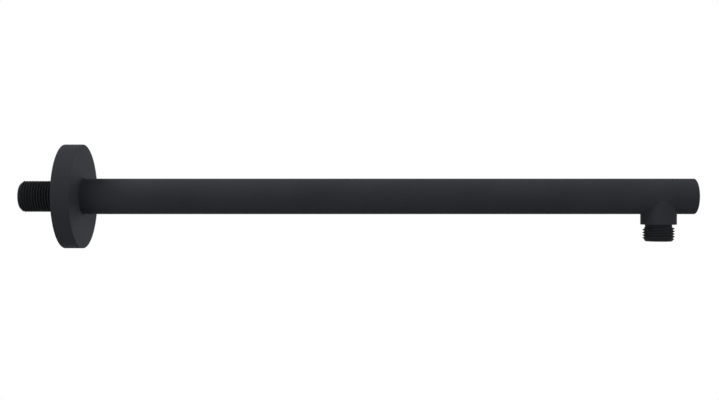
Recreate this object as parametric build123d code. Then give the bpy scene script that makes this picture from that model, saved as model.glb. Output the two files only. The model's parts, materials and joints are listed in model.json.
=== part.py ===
from build123d import *
import os

# Shower arm for a wall outlet: a straight brass tube with a threaded nipple brazed into its wall end,
# a plug closing its free end, a threaded outlet spigot coped onto its underside, and a loose wall
# flange that slides on the tube and grips it with a rubber ring.
# Millimetres. X runs along the tube's axis from the wall to the free end and Z is up.
# X = 0 is the wall plane, which the rear rim of the flange seats on.

# Tube
projection = 400.0  # wall plane to the outlet's axis
tail = 24.0  # outlet's axis to the closed end
tube_od = 24.0
tube_wall = 1.5
tube_start = 5.6  # wall plane to the tube's cut end, which seats on the nipple's shoulder
end_round = 0.3  # rounded outer edge of the closed end
braze_gap = 0.1  # gap that the brazing alloy fills round each joined piece
lead_in = 0.6  # chamfer that guides the nipple's spigot into the tube
plug_thickness = 4.0

# Male G 1/2 pipe thread at both ends, as a plain cylinder over its crests
thread_major = 20.955
thread_minor = 18.631
thread_chamfer = 1.9
relief_depth = 0.45  # how far the relief groove lies below the thread's root
relief_width = 1.9

# Inlet nipple
inlet_reach = 30.0  # wall plane to the nipple's threaded end, inside the wall
inlet_bore = 14.5
shoulder_width = 2.5
spigot_length = 12.0  # how far the nipple reaches into the tube

# Outlet spigot
boss_inset = 0.125  # how much smaller in radius the boss is than the tube
boss_drop = 19.0  # tube's axis to the underside of the boss
outlet_drop = 30.3  # tube's axis to the threaded end of the outlet
outlet_bore = 14.0
pilot_wall = 1.8  # wall of the pilot that locates the boss in the tube's hole
edge_break = 0.25

# Wall flange
flange_od = 70.0
flange_depth = 12.0
flange_face = 3.0  # thickness of the front face
flange_rim = 2.5  # thickness of the outer rim
flange_clearance = 0.2  # radial gap that lets the flange slide on the tube
collar_recess = 2.0  # how far the collar stays back from the wall plane
collar_back = 2.4  # metal left outside the ring's groove

# Rubber ring in the flange
ring_cord = 1.8  # thickness of the ring's round section
ring_flats = 8
ring_offset = 6.2  # wall plane to the near side of the ring's groove
ring_play = 0.3  # room beside the ring in its groove
ring_gap = 0.1  # gap between the ring's inner side and the tube
ring_seat = 0.05  # gap between the ring's outer side and the groove's floor

# Worked out from the driving dimensions
tube_r = tube_od / 2
bore_r = tube_r - tube_wall
tube_end = projection + tail
thread_r = thread_major / 2
relief_r = thread_minor / 2 - relief_depth
boss_r = tube_r - boss_inset
pilot_r = outlet_bore / 2 + pilot_wall
ring_r = tube_r + ring_gap + ring_cord / 2
groove_r = tube_r + ring_gap + ring_cord + ring_seat
groove_width = ring_cord + 2 * ring_play


def turned(points, axis=Axis.X):
    """A turned piece: a closed outline in the XZ plane, revolved about an axis in that plane."""
    outline = make_face(Plane.XZ * Polyline(*points, close=True))
    return revolve(outline, axis)


def rod_along_x(radius, start, end):
    """A cylinder on the tube's axis between two distances from the wall."""
    plane = Plane((start, 0, 0), x_dir=(0, 1, 0), z_dir=(1, 0, 0))
    return extrude(plane * Circle(radius), end - start)


def rod_at_outlet(radius, bottom, top):
    """A cylinder on the outlet's axis between two heights."""
    plane = Plane((projection, 0, bottom))
    return extrude(plane * Circle(radius), top - bottom)


# Tube: bored through, with the outlet's hole in its underside only
def make_arm_tube():
    tube = rod_along_x(tube_r, tube_start, tube_end)
    end_edge = tube.edges().sort_by(Axis.X)[-1]
    tube = fillet(end_edge, end_round)
    tube = tube - rod_along_x(bore_r, tube_start, tube_end)
    return tube - rod_at_outlet(pilot_r + braze_gap, -tube_od, 0)


# Plug: a disc, flush with the tube's closed end
def make_end_plug():
    return rod_along_x(bore_r - braze_gap, tube_end - plug_thickness, tube_end)


# Nipple: chamfered thread, relief groove, shoulder against the tube's cut end, and spigot inside it
def make_inlet_nipple():
    bore = inlet_bore / 2
    spigot_r = bore_r - braze_gap
    spigot_end = tube_start + spigot_length
    shoulder = tube_start - shoulder_width
    thread_end = shoulder - relief_width
    return turned(
        [
            (-inlet_reach, bore),
            (-inlet_reach, thread_r - thread_chamfer),
            (-inlet_reach + thread_chamfer, thread_r),
            (thread_end, thread_r),
            (thread_end, relief_r),
            (shoulder, relief_r),
            (shoulder, tube_r),
            (tube_start, tube_r),
            (tube_start, spigot_r),
            (spigot_end - lead_in, spigot_r),
            (spigot_end, spigot_r - lead_in),
            (spigot_end, bore),
        ]
    )


# Outlet: a turned boss and thread, coped to the tube, with a pilot that fills the tube's hole
def make_outlet_spigot():
    thread_start = -boss_drop - relief_width
    turning_axis = Axis((projection, 0, 0), (0, 0, 1))
    turning = turned(
        [
            (projection, 0),
            (projection + boss_r, 0),
            (projection + boss_r, -boss_drop + edge_break),
            (projection + boss_r - edge_break, -boss_drop),
            (projection + relief_r, -boss_drop),
            (projection + relief_r, thread_start),
            (projection + thread_r, thread_start),
            (projection + thread_r, -outlet_drop + thread_chamfer),
            (projection + thread_r - thread_chamfer, -outlet_drop),
            (projection, -outlet_drop),
        ],
        turning_axis,
    )
    cope_start = projection - tube_od
    cope_end = projection + tube_od
    boss = turning - rod_along_x(tube_r + braze_gap, cope_start, cope_end)
    pilot = rod_at_outlet(pilot_r, -boss_drop, 0) - rod_along_x(bore_r, cope_start, cope_end)
    return boss + pilot - rod_at_outlet(outlet_bore / 2, -outlet_drop, 0)


# Flange: a cup with a flat face and a collar, which holds the rubber ring and slides on the tube
def make_wall_flange():
    outer = flange_od / 2
    inner = outer - flange_rim
    bore = tube_r + flange_clearance
    collar = groove_r + collar_back
    floor = flange_depth - flange_face
    ring_far = ring_offset + groove_width
    return turned(
        [
            (0, inner),
            (0, outer - edge_break),
            (edge_break, outer),
            (flange_depth - edge_break, outer),
            (flange_depth, outer - edge_break),
            (flange_depth, bore + edge_break),
            (flange_depth - edge_break, bore),
            (ring_far, bore),
            (ring_far, groove_r),
            (ring_offset, groove_r),
            (ring_offset, bore),
            (collar_recess, bore),
            (collar_recess, collar),
            (floor, collar),
            (floor, inner),
        ]
    )


# Ring: lies in the flange's groove, round the tube, with its round section drawn in flats
def make_flange_o_ring():
    centre = (ring_offset + groove_width / 2, 0, ring_r)
    section_plane = Plane(centre, x_dir=(1, 0, 0), z_dir=(0, -1, 0))
    half_flat = 180 / ring_flats
    section = RegularPolygon(ring_cord / 2, ring_flats, major_radius=False, rotation=half_flat)
    return revolve(section_plane * section, Axis.X)


os.makedirs("parts", exist_ok=True)
export_step(make_arm_tube(), "parts/arm_tube.step")
export_step(make_end_plug(), "parts/end_plug.step")
export_step(make_inlet_nipple(), "parts/inlet_nipple.step")
export_step(make_outlet_spigot(), "parts/outlet_spigot.step")
export_step(make_wall_flange(), "parts/wall_flange.step")
export_step(make_flange_o_ring(), "parts/flange_o_ring.step")
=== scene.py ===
import json
import math

import bmesh
import bpy
import numpy as np
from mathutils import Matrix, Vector


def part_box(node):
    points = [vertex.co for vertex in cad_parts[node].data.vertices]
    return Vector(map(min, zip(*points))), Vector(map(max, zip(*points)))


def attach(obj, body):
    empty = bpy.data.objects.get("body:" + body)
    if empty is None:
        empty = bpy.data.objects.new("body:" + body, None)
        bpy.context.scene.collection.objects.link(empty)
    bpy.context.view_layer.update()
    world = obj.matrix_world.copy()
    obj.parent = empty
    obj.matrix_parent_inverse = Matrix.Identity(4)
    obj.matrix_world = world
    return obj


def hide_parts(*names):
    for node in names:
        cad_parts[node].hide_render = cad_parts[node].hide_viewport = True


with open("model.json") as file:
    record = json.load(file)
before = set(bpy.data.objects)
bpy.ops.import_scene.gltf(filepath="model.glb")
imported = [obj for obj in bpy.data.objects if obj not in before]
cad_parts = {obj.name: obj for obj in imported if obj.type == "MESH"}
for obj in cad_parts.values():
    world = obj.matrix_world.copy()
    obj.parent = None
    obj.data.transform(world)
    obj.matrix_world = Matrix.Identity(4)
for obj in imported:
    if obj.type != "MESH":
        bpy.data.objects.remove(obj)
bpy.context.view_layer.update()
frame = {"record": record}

# Shower arm in matte black paint, dressed on its frame
# Metres: X runs along the tube from the wall to its closed end, Z is up
MM = 0.001

# Sizes that the frame gives
MOUNTS = {mount["name"]: mount for mount in frame["record"]["mounts"]}
OUTLET_X = MOUNTS["outlet_thread"]["pos_m"][0]
THREAD_R = MOUNTS["outlet_thread"]["dims"]["r_mm"] * MM
TUBE_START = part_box("arm_tube")[0].x
TUBE_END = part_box("arm_tube")[1].x
PLUG_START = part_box("end_plug")[0].x
INLET_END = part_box("inlet_nipple")[0].x
SPIGOT_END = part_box("inlet_nipple")[1].x
OUTLET_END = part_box("outlet_spigot")[0].z
FLANGE_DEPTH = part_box("wall_flange")[1].x
RING_X = (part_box("flange_o_ring")[0].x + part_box("flange_o_ring")[1].x) / 2

# Tube and plug
TUBE_R = 12 * MM
BORE_R = 10.5 * MM
END_ROUND = 0.3 * MM
PLUG_CHAMFER = 0.5 * MM

# G 1/2 pipe thread with rounded crests and roots, in the standard's proportions
INCH = 25.4 * MM
THREADS_PER_INCH = 14
PITCH = INCH / THREADS_PER_INCH
THREAD_DEPTH = 0.640327 * PITCH
THREAD_ROUND = 0.137329 * PITCH
FLANK_ANGLE = math.radians(27.5)
THREAD_CHAMFER = 1.9 * MM
CHAMFER_SLOPE = 1.0
RUN_OUT_SLOPE = 4.0
RELIEF_R = 8.8655 * MM
RELIEF_WIDTH = 1.9 * MM

# Where a crest of each thread crosses angle zero, along the thread's axis
INLET_CREST = -28.20 * MM
OUTLET_CREST = -21.61 * MM

# Turns laid out past both ends of a thread before it is cut to length
SPARE_TURNS = 2

# Inlet nipple
INLET_BORE_R = 7.25 * MM
SHOULDER_WIDTH = 2.5 * MM
SHOULDER_START = TUBE_START - SHOULDER_WIDTH
SHOULDER_ROUND = 0.3 * MM
INLET_THREAD_END = SHOULDER_START - RELIEF_WIDTH
NIPPLE_SPIGOT_R = 10.4 * MM
LEAD_IN = 0.6 * MM
BORE_CHAMFER = 0.4 * MM

# Outlet spigot
BOSS_R = 11.875 * MM
BOSS_BOTTOM = -19.0 * MM
BOSS_ROUND = 0.3 * MM
OUTLET_THREAD_END = BOSS_BOTTOM - RELIEF_WIDTH
OUTLET_BORE_R = 7.0 * MM
PILOT_R = 8.8 * MM

# The boss reaches a little into the tube's wall, so that no gap shows round it
COPE_OVERLAP = 0.05 * MM
COPE_R = TUBE_R - COPE_OVERLAP

# Wall flange and its rubber ring
FLANGE_R = 35 * MM
FLANGE_INNER_R = 32.5 * MM
FLANGE_BORE_R = 12.2 * MM
FLANGE_FLOOR = 9 * MM
FLANGE_ROUND = 0.1 * MM
COLLAR_R = 16.35 * MM
COLLAR_START = 2 * MM
GROOVE_R = 13.95 * MM
GROOVE_WIDTH = 2.4 * MM
RING_R = 13.0 * MM
CORD_R = 0.9 * MM

# Fineness of the meshes
AROUND = 192
COLUMN_ANGLE = 2 * math.pi / AROUND
ARC_STEPS = 5
RING_STEPS = 20
WALL_STEPS = 12
TUBE_STEPS = 60
PATCH_RINGS = 8
WELD = 0.0005 * MM
SHARP_ANGLE = math.radians(35)

# Half of the patch of tube wall that the outlet's hole is cut in
PATCH_HALF = 11 * MM
PATCH_SIDE_STEPS = 24
PATCH_COLUMNS = 32


def about_tube(along, radius, angle):
    """Points round the tube's axis."""
    along, radius, angle = np.broadcast_arrays(along, radius, angle)
    return np.stack([along, radius * np.cos(angle), radius * np.sin(angle)], axis=-1)


def about_outlet(along, radius, angle):
    """Points round the outlet's axis."""
    along, radius, angle = np.broadcast_arrays(along, radius, angle)
    across = OUTLET_X + radius * np.cos(angle)
    return np.stack([across, radius * np.sin(angle), along], axis=-1)


ANGLES = np.arange(AROUND) * COLUMN_ANGLE

# Which of a piece's materials a patch of it shows
OUTER_COAT = 0
# Patches with this finish get a darker copy of the paint: painted shade on the threads, relief grooves,
# mouths and bores
PAINTED_SHADE_FINISH = 1


class Shell:
    """Points and faces of one closed piece, gathered patch by patch and welded where they meet."""

    def __init__(self):
        self.points = []
        self.faces = []
        self.finishes = []

    def add(self, grid, closed=True, climb=0, finish=OUTER_COAT):
        """A grid of points. When closed, its last column joins the first, climb rows further on."""
        rows, columns = grid.shape[:2]
        first = len(self.points)
        self.points.extend(grid.reshape(-1, 3).tolist())
        for row in range(rows - 1):
            for column in range(columns if closed else columns - 1):
                turn, beside = divmod(column + 1, columns)
                beside_row = row + turn * climb
                if beside_row + 1 < rows:
                    near = first + row * columns + column
                    far = first + beside_row * columns + beside
                    self.faces.append([near, far, far + columns, near + columns])
                    self.finishes.append(finish)

    def piece(self, name, body, node, materials):
        """Makes the piece an object that rides on a body in place of a CAD node."""
        mesh = bpy.data.meshes.new(name)
        mesh.from_pydata(self.points, [], self.faces)
        for material in materials:
            mesh.materials.append(material)
        mesh.polygons.foreach_set("material_index", self.finishes)
        work = bmesh.new()
        work.from_mesh(mesh)
        bmesh.ops.remove_doubles(work, verts=work.verts, dist=WELD)
        bmesh.ops.recalc_face_normals(work, faces=work.faces)
        for face in work.faces:
            face.smooth = True
        work.to_mesh(mesh)
        work.free()
        mesh.set_sharp_from_angle(angle=SHARP_ANGLE)
        made = bpy.data.objects.new(name, mesh)
        bpy.context.scene.collection.objects.link(made)
        weighted = made.modifiers.new("even_shading", "WEIGHTED_NORMAL")
        weighted.keep_sharp = True
        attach(made, body)
        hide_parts(node)


def unit(vector):
    """A vector of length one."""
    return vector / np.linalg.norm(vector)


def outline(*corners):
    """A turned outline through corners (along, radius, rounding), with an arc at each rounded corner."""
    points = []
    for index, (along, radius, rounding) in enumerate(corners):
        corner = np.array([along, radius])
        if not rounding:
            points.append(corner)
            continue
        before = unit(np.array(corners[index - 1][:2]) - corner)
        after = unit(np.array(corners[(index + 1) % len(corners)][:2]) - corner)
        half = math.acos(before @ after) / 2
        sweep = math.pi - 2 * half
        centre = corner + unit(before + after) * rounding / math.sin(half)
        start = corner + before * rounding / math.tan(half) - centre
        end = corner + after * rounding / math.tan(half) - centre
        for share in np.linspace(0, 1, ARC_STEPS + 1):
            turned = start * math.sin((1 - share) * sweep) + end * math.sin(share * sweep)
            points.append(centre + turned / math.sin(sweep))
    return np.array(points)


def add_turned(shell, place, points, finish=OUTER_COAT):
    """A surface turned from an outline of (along, radius) points."""
    shell.add(place(points[:, :1], points[:, 1:], ANGLES), finish=finish)


def thread_profile():
    """One pitch of thread from a crest to the next: distances along it and depths below the crest."""
    reach = math.pi / 2 - FLANK_ANGLE
    arc = np.linspace(-reach, reach, ARC_STEPS + 1)
    crest_along = THREAD_ROUND * np.sin(arc)
    crest_depth = THREAD_ROUND * (1 - np.cos(arc))
    along = np.concatenate([crest_along, PITCH / 2 + crest_along])
    depth = np.concatenate([crest_depth, THREAD_DEPTH - crest_depth])
    return along, depth


def add_thread(shell, place, crest, start, end):
    """A right-hand thread from its chamfered end to its relief groove, on a grid that climbs with it."""
    along, depth = thread_profile()
    first_turn = math.floor((start - crest) / PITCH) - SPARE_TURNS
    last_turn = math.ceil((end - crest) / PITCH) + SPARE_TURNS
    turns = np.arange(first_turn, last_turn) * PITCH
    rows = (crest + turns[:, None] + along).reshape(-1, 1)
    depths = np.tile(depth, len(turns)).reshape(-1, 1)
    climbed = np.clip(rows + PITCH * ANGLES / (2 * math.pi), start, end)
    chamfer = THREAD_R - THREAD_CHAMFER + (climbed - start) * CHAMFER_SLOPE
    run_out = RELIEF_R + (end - climbed) * RUN_OUT_SLOPE
    radius = np.minimum(THREAD_R - depths, np.minimum(chamfer, run_out))
    shell.add(place(climbed, radius, ANGLES), climb=len(along), finish=PAINTED_SHADE_FINISH)


# Tube: two walls, each with the outlet's hole in a patch of its underside
def tube_points(along, radius, turn):
    """Points on the tube, with turn measured from its underside towards +Y."""
    return about_tube(along, radius, np.asarray(turn) - math.pi / 2)


def patch_edge():
    """The patch's edge, once round: distances from the outlet's axis along the tube, and turns."""
    turns = np.arange(-PATCH_COLUMNS, PATCH_COLUMNS) * COLUMN_ANGLE
    steps = np.linspace(PATCH_HALF, -PATCH_HALF, PATCH_SIDE_STEPS, endpoint=False)
    long_side = np.full(len(turns), PATCH_HALF)
    short_side = np.full(len(steps), PATCH_COLUMNS * COLUMN_ANGLE)
    along = np.concatenate([long_side, steps, -long_side, -steps])
    turn = np.concatenate([turns, short_side, -turns, -short_side])
    return along, turn


def hole_edge(radius):
    """The outlet's hole in a wall of that radius, with a point for each point of the patch's edge."""
    along, turn = patch_edge()
    direction = np.arctan2(turn * TUBE_R, along)
    return PILOT_R * np.cos(direction), np.arcsin(PILOT_R * np.sin(direction) / radius)


def add_tube_wall(shell, radius, end):
    """One wall of the tube from its cut end to a distance near its closed end."""
    before = np.linspace(TUBE_START, OUTLET_X - PATCH_HALF, TUBE_STEPS)
    after = np.linspace(OUTLET_X + PATCH_HALF, end, ARC_STEPS)
    shell.add(tube_points(before[:, None], radius, ANGLES))
    shell.add(tube_points(after[:, None], radius, ANGLES))
    over = np.arange(PATCH_COLUMNS, AROUND - PATCH_COLUMNS + 1) * COLUMN_ANGLE
    beside = np.linspace(-PATCH_HALF, PATCH_HALF, PATCH_SIDE_STEPS + 1) + OUTLET_X
    shell.add(tube_points(beside[:, None], radius, over), closed=False)
    edge_along, edge_turn = patch_edge()
    hole_along, hole_turn = hole_edge(radius)
    share = np.linspace(0, 1, PATCH_RINGS)[:, None]
    along = hole_along + share * (edge_along - hole_along)
    turn = hole_turn + share * (edge_turn - hole_turn)
    shell.add(tube_points(OUTLET_X + along, radius, turn))


def build_tube(materials):
    """Drawn tube, rounded at its closed end."""
    shell = Shell()
    round_start = TUBE_END - END_ROUND
    add_tube_wall(shell, TUBE_R, round_start)
    add_tube_wall(shell, BORE_R, TUBE_END)
    hole_along = OUTLET_X + hole_edge(TUBE_R)[0]
    walls = [tube_points(hole_along, radius, hole_edge(radius)[1]) for radius in (TUBE_R, BORE_R)]
    shell.add(np.stack(walls))
    add_turned(shell, about_tube, np.array([[TUBE_START, TUBE_R], [TUBE_START, BORE_R]]))
    bend = np.linspace(0, math.pi / 2, ARC_STEPS + 1)
    along = np.append(round_start + END_ROUND * np.sin(bend), TUBE_END)
    radius = np.append(TUBE_R - END_ROUND + END_ROUND * np.cos(bend), BORE_R)
    add_turned(shell, about_tube, np.stack([along, radius], axis=1))
    shell.piece("tube", "arm", "arm_tube", materials)


def build_plug(materials):
    """Disc in the tube's closed end, dressed flush, with a chamfer at its hidden side."""
    shell = Shell()
    back = PLUG_START + PLUG_CHAMFER
    disc = outline(
        (PLUG_START, 0, 0),
        (PLUG_START, BORE_R - PLUG_CHAMFER, 0),
        (back, BORE_R, 0),
        (TUBE_END, BORE_R, 0),
        (TUBE_END, 0, 0),
    )
    add_turned(shell, about_tube, disc)
    shell.piece("plug", "arm", "end_plug", materials)


def build_nipple(materials):
    """Threaded inlet with its relief groove, its shoulder and the spigot inside the tube."""
    shell = Shell()
    add_thread(shell, about_tube, INLET_CREST, INLET_END, INLET_THREAD_END)
    groove = outline((INLET_THREAD_END, RELIEF_R, 0), (SHOULDER_START, RELIEF_R, 0))
    add_turned(shell, about_tube, groove, PAINTED_SHADE_FINISH)
    shoulder = outline(
        (SHOULDER_START, RELIEF_R, 0),
        (SHOULDER_START, TUBE_R, SHOULDER_ROUND),
        (TUBE_START, TUBE_R, 0),
        (TUBE_START, NIPPLE_SPIGOT_R, 0),
        (SPIGOT_END - LEAD_IN, NIPPLE_SPIGOT_R, 0),
        (SPIGOT_END, NIPPLE_SPIGOT_R - LEAD_IN, 0),
        (SPIGOT_END, INLET_BORE_R, 0),
    )
    add_turned(shell, about_tube, shoulder)
    mouth = outline(
        (SPIGOT_END, INLET_BORE_R, 0),
        (INLET_END + BORE_CHAMFER, INLET_BORE_R, 0),
        (INLET_END, INLET_BORE_R + BORE_CHAMFER, 0),
        (INLET_END, THREAD_R - THREAD_CHAMFER, 0),
    )
    add_turned(shell, about_tube, mouth, PAINTED_SHADE_FINISH)
    shell.piece("nipple", "arm", "inlet_nipple", materials)


def saddle(tube_radius, radius):
    """Heights of the tube's underside over a circle round the outlet's axis."""
    return -np.sqrt(tube_radius**2 - (radius * np.sin(ANGLES)) ** 2)


def build_spigot(materials):
    """Outlet: a boss coped to the tube, a pilot inside it, a relief groove and a thread facing down."""
    shell = Shell()
    add_thread(shell, about_outlet, OUTLET_CREST, OUTLET_END, OUTLET_THREAD_END)
    mouth = outline(
        (OUTLET_END, THREAD_R - THREAD_CHAMFER, 0),
        (OUTLET_END, OUTLET_BORE_R + BORE_CHAMFER, 0),
        (OUTLET_END + BORE_CHAMFER, OUTLET_BORE_R, 0),
    )
    add_turned(shell, about_outlet, mouth, PAINTED_SHADE_FINISH)
    share = np.linspace(0, 1, WALL_STEPS)[:, None]
    bore_top = saddle(BORE_R, OUTLET_BORE_R)
    bore_low = OUTLET_END + BORE_CHAMFER
    bore = about_outlet(bore_low + share * (bore_top - bore_low), OUTLET_BORE_R, ANGLES)
    shell.add(bore, finish=PAINTED_SHADE_FINISH)
    rims = [(BORE_R, OUTLET_BORE_R), (BORE_R, PILOT_R)]
    rims += [(COPE_R, radius) for radius in np.linspace(PILOT_R, BOSS_R, ARC_STEPS)]
    shell.add(np.stack([about_outlet(saddle(*rim), rim[1], ANGLES) for rim in rims]))
    boss_top = saddle(COPE_R, BOSS_R)
    boss_low = BOSS_BOTTOM + BOSS_ROUND
    shell.add(about_outlet(boss_low + share * (boss_top - boss_low), BOSS_R, ANGLES))
    under = outline(
        (boss_low, BOSS_R, 0),
        (BOSS_BOTTOM, BOSS_R, BOSS_ROUND),
        (BOSS_BOTTOM, RELIEF_R, 0),
    )
    add_turned(shell, about_outlet, under)
    groove = outline((BOSS_BOTTOM, RELIEF_R, 0), (OUTLET_THREAD_END, RELIEF_R, 0))
    add_turned(shell, about_outlet, groove, PAINTED_SHADE_FINISH)
    shell.piece("spigot", "arm", "outlet_spigot", materials)


def build_flange(materials):
    """Cup with a flat face, soft edges, and the collar that holds the rubber ring."""
    shell = Shell()
    groove_start = RING_X - GROOVE_WIDTH / 2
    groove_end = RING_X + GROOVE_WIDTH / 2
    cup = outline(
        (0, FLANGE_INNER_R, 0),
        (0, FLANGE_R, FLANGE_ROUND),
        (FLANGE_DEPTH, FLANGE_R, FLANGE_ROUND),
        (FLANGE_DEPTH, FLANGE_BORE_R, FLANGE_ROUND),
        (groove_end, FLANGE_BORE_R, 0),
        (groove_end, GROOVE_R, 0),
        (groove_start, GROOVE_R, 0),
        (groove_start, FLANGE_BORE_R, 0),
        (COLLAR_START, FLANGE_BORE_R, 0),
        (COLLAR_START, COLLAR_R, FLANGE_ROUND),
        (FLANGE_FLOOR, COLLAR_R, FLANGE_ROUND),
        (FLANGE_FLOOR, FLANGE_INNER_R, FLANGE_ROUND),
    )
    add_turned(shell, about_tube, np.concatenate([cup, cup[:1]]))
    shell.piece("flange", "flange", "wall_flange", materials)


def build_ring(materials):
    """Rubber ring with a round section."""
    shell = Shell()
    turn = np.linspace(0, 2 * math.pi, RING_STEPS + 1)
    section = np.stack([RING_X + CORD_R * np.cos(turn), RING_R + CORD_R * np.sin(turn)], axis=1)
    add_turned(shell, about_tube, section)
    shell.piece("ring", "flange", "flange_o_ring", materials)


# Materials
def add_node(tree, kind, inputs=(), **settings):
    """A node with its settings. Each input is a value or another node's output."""
    made = tree.nodes.new(kind)
    for name, value in settings.items():
        setattr(made, name, value)
    for name, value in dict(inputs).items():
        if isinstance(value, bpy.types.NodeSocket):
            tree.links.new(value, made.inputs[name])
        else:
            made.inputs[name].default_value = value
    return made


def new_material(name):
    """A material with an empty node tree."""
    material = bpy.data.materials.new(name)
    material.use_nodes = True
    material.node_tree.nodes.clear()
    return material


def noise(tree, size, detail):
    """Noise fixed to the piece, with lumps of about that size."""
    place = add_node(tree, "ShaderNodeTexCoord").outputs["Object"]
    inputs = {"Vector": place, "Scale": 1 / size, "Detail": detail}
    return add_node(tree, "ShaderNodeTexNoise", inputs).outputs["Fac"]


# Most values of a noise lie between these
NOISE_LOW = 0.3
NOISE_HIGH = 0.7


def between(tree, value, low, high):
    """A noise value spread between two numbers."""
    inputs = {"Value": value, "From Min": NOISE_LOW, "From Max": NOISE_HIGH, "To Min": low, "To Max": high}
    return add_node(tree, "ShaderNodeMapRange", inputs).outputs["Result"]


def tinted(tree, value, dark, light):
    """A noise value spread between two colours."""
    ramp = add_node(tree, "ShaderNodeValToRGB", {"Fac": value})
    ramp.color_ramp.elements[0].position = NOISE_LOW
    ramp.color_ramp.elements[0].color = (*dark, 1)
    ramp.color_ramp.elements[1].position = NOISE_HIGH
    ramp.color_ramp.elements[1].color = (*light, 1)
    return ramp.outputs["Color"]


def bumped(tree, height, depth, strength, normal=None):
    """A surface normal rippled by a height that spans that depth."""
    inputs = {"Height": height, "Distance": depth, "Strength": strength}
    if normal is not None:
        inputs["Normal"] = normal
    return add_node(tree, "ShaderNodeBump", inputs).outputs["Normal"]


PAINT_DARK = (0.0306, 0.0318, 0.0370)
PAINT_LIGHT = (0.0347, 0.0362, 0.0418)
PAINT_ROUGHNESS = (0.70, 0.84)
PAINT_SPECULAR = 0.05
# A darker copy of the paint for threads, relief grooves and bores: painted shade standing in for the shade
# in their recesses
PAINTED_SHADE_DARK = (0.0185, 0.0205, 0.0225)
PAINTED_SHADE_LIGHT = (0.0215, 0.0240, 0.0260)
THREAD_ROUGHNESS = (0.60, 0.74)
CLOUD_SIZE = 35 * MM
CLOUD_DETAIL = 2
PEEL_SIZE = 1.6 * MM
PEEL_DETAIL = 1
PEEL_DEPTH = 0.03 * MM
PEEL_STRENGTH = 0.35
GRAIN_SIZE = 0.40 * MM
GRAIN_DETAIL = 2
GRAIN_DEPTH = 0.045 * MM
GRAIN_STRENGTH = 0.8


def coat_material(name, dark, light, roughness):
    """Matte black coat: slow clouds in its tone, a faint orange peel and a fine grain."""
    material = new_material(name)
    tree = material.node_tree
    clouds = noise(tree, CLOUD_SIZE, CLOUD_DETAIL)
    grain = noise(tree, GRAIN_SIZE, GRAIN_DETAIL)
    peel = noise(tree, PEEL_SIZE, PEEL_DETAIL)
    normal = bumped(tree, peel, PEEL_DEPTH, PEEL_STRENGTH)
    normal = bumped(tree, grain, GRAIN_DEPTH, GRAIN_STRENGTH, normal)
    inputs = {
        "Base Color": tinted(tree, clouds, dark, light),
        "Roughness": between(tree, grain, *roughness),
        "Specular IOR Level": PAINT_SPECULAR,
        "Normal": normal,
    }
    shader = add_node(tree, "ShaderNodeBsdfPrincipled", inputs)
    add_node(tree, "ShaderNodeOutputMaterial", {"Surface": shader.outputs["BSDF"]})
    return material


RUBBER_DARK = (0.012, 0.012, 0.013)
RUBBER_LIGHT = (0.018, 0.018, 0.019)
RUBBER_ROUGHNESS = (0.6, 0.8)
RUBBER_SPECULAR = 0.2
RUBBER_GRAIN = 0.2 * MM
RUBBER_DETAIL = 3
RUBBER_DEPTH = 0.01 * MM
RUBBER_STRENGTH = 0.5


def rubber_material():
    """Black nitrile rubber with a dusty bloom."""
    material = new_material("black_rubber")
    tree = material.node_tree
    clouds = noise(tree, CLOUD_SIZE, CLOUD_DETAIL)
    grain = noise(tree, RUBBER_GRAIN, RUBBER_DETAIL)
    inputs = {
        "Base Color": tinted(tree, clouds, RUBBER_DARK, RUBBER_LIGHT),
        "Roughness": between(tree, grain, *RUBBER_ROUGHNESS),
        "Specular IOR Level": RUBBER_SPECULAR,
        "Normal": bumped(tree, grain, RUBBER_DEPTH, RUBBER_STRENGTH),
    }
    shader = add_node(tree, "ShaderNodeBsdfPrincipled", inputs)
    add_node(tree, "ShaderNodeOutputMaterial", {"Surface": shader.outputs["BSDF"]})
    return material


# Studio: white surroundings, four soft lamps, a pale floor, and a soft sky
# The sky is stronger above, behind and towards the closed end
WHITE = (1, 1, 1, 1)
SKY_LEVEL = 0.21
SKY_SLOPE = (0.115, 0.085, 0.115)
STUDIO_CENTRE = Vector((0.20, 0.0, 0.0))
LAMP_DISTANCE = 2.5
LAMP_SIZE = 1.5
BACK_LAMP = (Vector((1, 1, 0)), 47)
TOP_LAMP = (Vector((-1, 0, 1)), 58.5)
LEFT_LAMP = (Vector((-1, -2, 0)), 19.5)
RIGHT_LAMP = (Vector((2, -2, 1)), 18)
FLOOR_Z = -0.30
FLOOR_R = 1.2
FLOOR_FADE = (0.35, 0.72)
FLOOR_PALE = 0.86
FLOOR_DULL = 0.24


def background_ray(tree):
    """1 for the rays that see the surroundings: from the camera, in gloss and through glass."""
    ray = add_node(tree, "ShaderNodeLightPath")
    seen = ray.outputs["Is Camera Ray"]
    for kind in ("Is Glossy Ray", "Is Transmission Ray"):
        inputs = {0: seen, 1: ray.outputs[kind]}
        seen = add_node(tree, "ShaderNodeMath", inputs, operation="MAXIMUM").outputs["Value"]
    return seen


def build_world():
    """White to look at, and a soft light whose strength changes evenly with direction."""
    world = bpy.data.worlds.new("studio")
    world.use_nodes = True
    tree = world.node_tree
    tree.nodes.clear()
    direction = add_node(tree, "ShaderNodeTexCoord").outputs["Generated"]
    inputs = {0: direction, 1: SKY_SLOPE}
    slope = add_node(tree, "ShaderNodeVectorMath", inputs, operation="DOT_PRODUCT").outputs["Value"]
    level = add_node(tree, "ShaderNodeMath", {0: slope, 1: SKY_LEVEL}, operation="ADD").outputs["Value"]
    light = add_node(tree, "ShaderNodeBackground", {"Color": WHITE, "Strength": level})
    white = add_node(tree, "ShaderNodeBackground", {"Color": WHITE, "Strength": 1})
    inputs = {0: background_ray(tree), 1: light.outputs["Background"], 2: white.outputs["Background"]}
    mixed = add_node(tree, "ShaderNodeMixShader", inputs)
    add_node(tree, "ShaderNodeOutputWorld", {"Surface": mixed.outputs["Shader"]})
    bpy.context.scene.world = world


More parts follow.
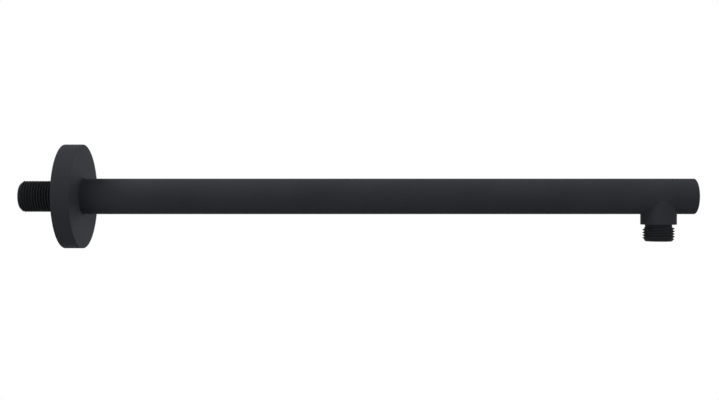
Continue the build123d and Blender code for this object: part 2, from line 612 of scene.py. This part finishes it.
def add_lamp(name, direction, watts):
    """A round soft light that faces the arm from a direction and isn't seen itself."""
    data = bpy.data.lights.new(name, "AREA")
    data.shape = "DISK"
    data.size = LAMP_SIZE
    data.energy = watts
    lamp = bpy.data.objects.new(name, data)
    lamp.location = STUDIO_CENTRE + direction.normalized() * LAMP_DISTANCE
    lamp.rotation_euler = (-direction).to_track_quat("-Z", "Y").to_euler()
    lamp.visible_camera = False
    lamp.visible_glossy = False
    bpy.context.scene.collection.objects.link(lamp)


def floor_material():
    """Pale one-sided floor that keeps the shadow and fades to white. Other rays meet a duller grey."""
    material = new_material("pale_floor")
    tree = material.node_tree
    place = add_node(tree, "ShaderNodeTexCoord").outputs["Object"]
    reach = add_node(tree, "ShaderNodeVectorMath", {0: place}, operation="LENGTH").outputs["Value"]
    inputs = {"Value": reach, "From Min": FLOOR_FADE[0], "From Max": FLOOR_FADE[1]}
    fade = add_node(tree, "ShaderNodeMapRange", inputs, interpolation_type="SMOOTHSTEP").outputs["Result"]
    pale = add_node(tree, "ShaderNodeBsdfDiffuse", {"Color": (FLOOR_PALE, FLOOR_PALE, FLOOR_PALE, 1)})
    white = add_node(tree, "ShaderNodeEmission", {"Color": WHITE, "Strength": 1})
    dull = add_node(tree, "ShaderNodeBsdfDiffuse", {"Color": (FLOOR_DULL, FLOOR_DULL, FLOOR_DULL, 1)})
    inputs = {0: fade, 1: pale.outputs["BSDF"], 2: white.outputs["Emission"]}
    shown = add_node(tree, "ShaderNodeMixShader", inputs)
    inputs = {0: background_ray(tree), 1: dull.outputs["BSDF"], 2: shown.outputs["Shader"]}
    upper = add_node(tree, "ShaderNodeMixShader", inputs)
    under = add_node(tree, "ShaderNodeNewGeometry").outputs["Backfacing"]
    clear = add_node(tree, "ShaderNodeBsdfTransparent")
    inputs = {0: under, 1: upper.outputs["Shader"], 2: clear.outputs["BSDF"]}
    sided = add_node(tree, "ShaderNodeMixShader", inputs)
    add_node(tree, "ShaderNodeOutputMaterial", {"Surface": sided.outputs["Shader"]})
    return material


def build_floor():
    """A round floor well below the arm."""
    mesh = bpy.data.meshes.new("floor")
    work = bmesh.new()
    bmesh.ops.create_circle(work, cap_ends=True, segments=AROUND, radius=FLOOR_R)
    work.to_mesh(mesh)
    work.free()
    mesh.materials.append(floor_material())
    floor = bpy.data.objects.new("floor", mesh)
    floor.location = STUDIO_CENTRE + Vector((0, 0, FLOOR_Z))
    bpy.context.scene.collection.objects.link(floor)


# Camera: level and square to the tube, where the photograph was taken from
CAMERA_PLACE = (0.198129, -0.662297, -0.002434)
CAMERA_LENS = 49.114
SENSOR_WIDTH = 36
CLIP_START = 0.01


def build_camera():
    """The photograph's camera."""
    data = bpy.data.cameras.new("camera")
    data.sensor_width = SENSOR_WIDTH
    data.lens = CAMERA_LENS
    data.clip_start = CLIP_START
    camera = bpy.data.objects.new("camera", data)
    camera.location = CAMERA_PLACE
    camera.rotation_euler = (math.pi / 2, 0, 0)
    bpy.context.scene.collection.objects.link(camera)
    bpy.context.scene.camera = camera


paint = coat_material("matte_black_paint", PAINT_DARK, PAINT_LIGHT, PAINT_ROUGHNESS)
# The darker thread paint is painted shade on the threads, relief grooves, mouths and bores
thread_paint_with_shade = coat_material("thin_black_coat", PAINTED_SHADE_DARK, PAINTED_SHADE_LIGHT, THREAD_ROUGHNESS)
build_tube([paint])
build_plug([paint])
build_nipple([paint, thread_paint_with_shade])
build_spigot([paint, thread_paint_with_shade])
build_flange([paint])
build_ring([rubber_material()])
build_world()
add_lamp("back_lamp", *BACK_LAMP)
add_lamp("top_lamp", *TOP_LAMP)
add_lamp("left_lamp", *LEFT_LAMP)
add_lamp("right_lamp", *RIGHT_LAMP)
build_floor()
build_camera()
bpy.context.scene.view_settings.view_transform = "Standard"
